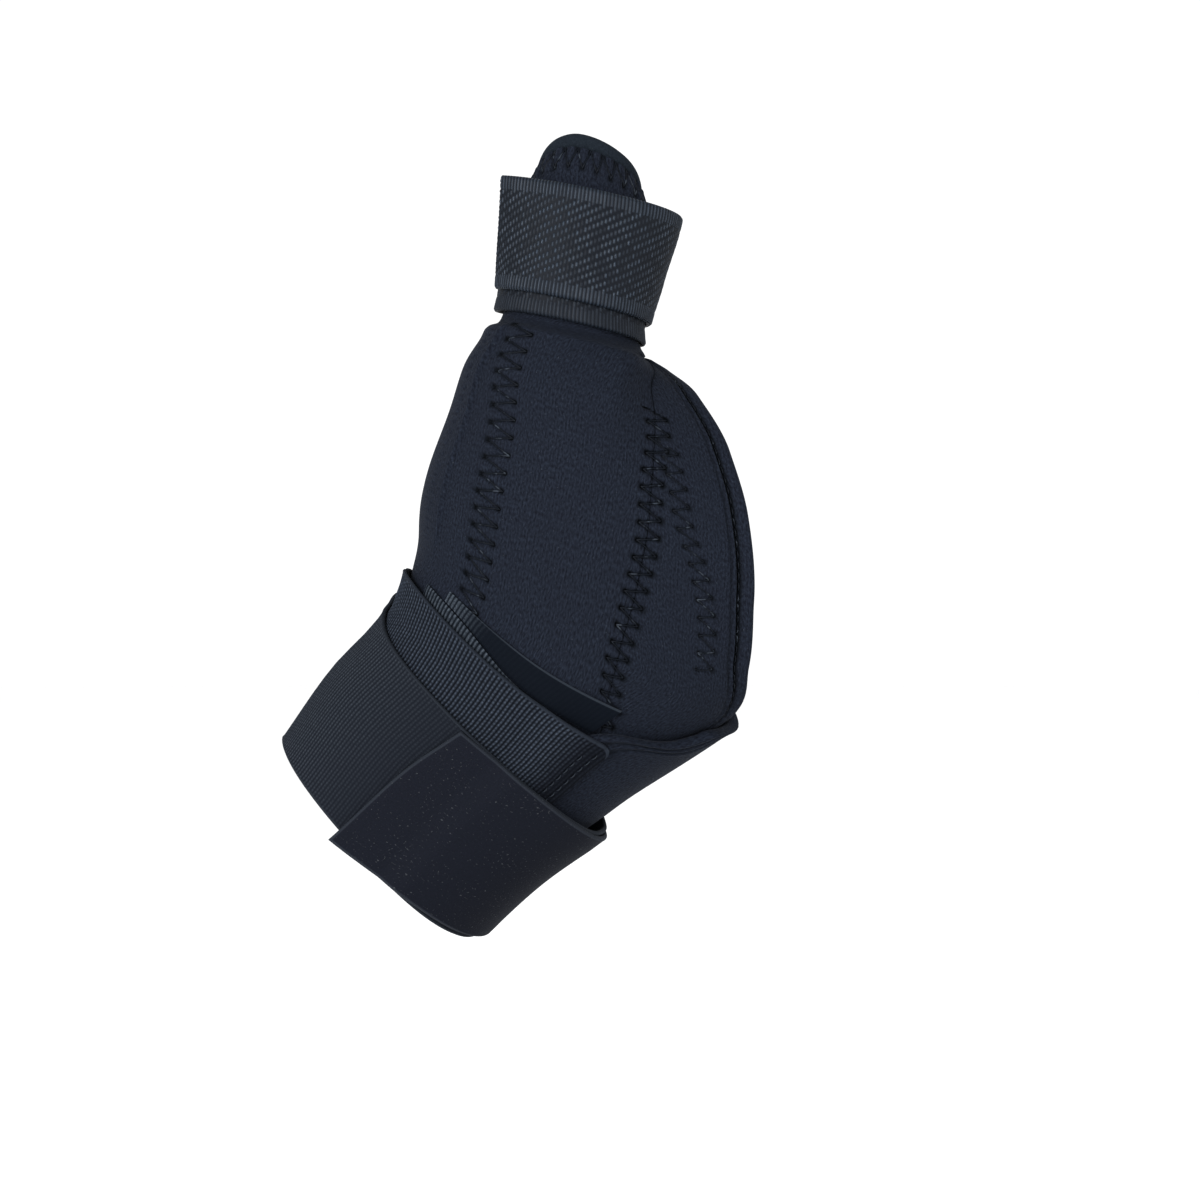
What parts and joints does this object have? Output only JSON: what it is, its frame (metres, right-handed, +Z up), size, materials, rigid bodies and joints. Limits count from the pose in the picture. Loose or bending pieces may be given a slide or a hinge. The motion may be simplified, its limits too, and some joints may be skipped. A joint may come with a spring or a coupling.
{
  "type": "thumb spica splint",
  "caption": "Worn thumb spica splint for a left hand: neoprene sleeve from wrist to thumb, open for the fingers, with a wound thumb strap and an elastic wrist strap.",
  "frame": {"origin": "middle of the wrist hollow, inside the wrist strap", "axes": "+Z up along the thumb, +X to the finger side of the hand, +Y to the back of the hand, -Y to the palm; the wrist hollow runs at 45 degrees between +X and +Z"},
  "size_m": [0.1108, 0.0592, 0.1884],
  "materials": {
    "faced_neoprene": "matt jersey face",
    "inner_neoprene": "matt",
    "woven_tape": "twill, slight sheen",
    "loop_tape": "slight sheen",
    "ribbed_elastic": "ribbed, matt",
    "hook_panel": "smooth, matt"
  },
  "bodies": {
    "root": {"thumb_panel": "faced_neoprene", "palm_panel": "faced_neoprene", "dorsal_panel": "faced_neoprene", "thumb_sleeve": "inner_neoprene", "thumb_strap": "woven_tape", "loop_tape_lower": "loop_tape", "loop_tape_upper": "loop_tape", "wrist_strap": "ribbed_elastic", "hook_tab": "hook_panel"}
  },
  "joints": []
}
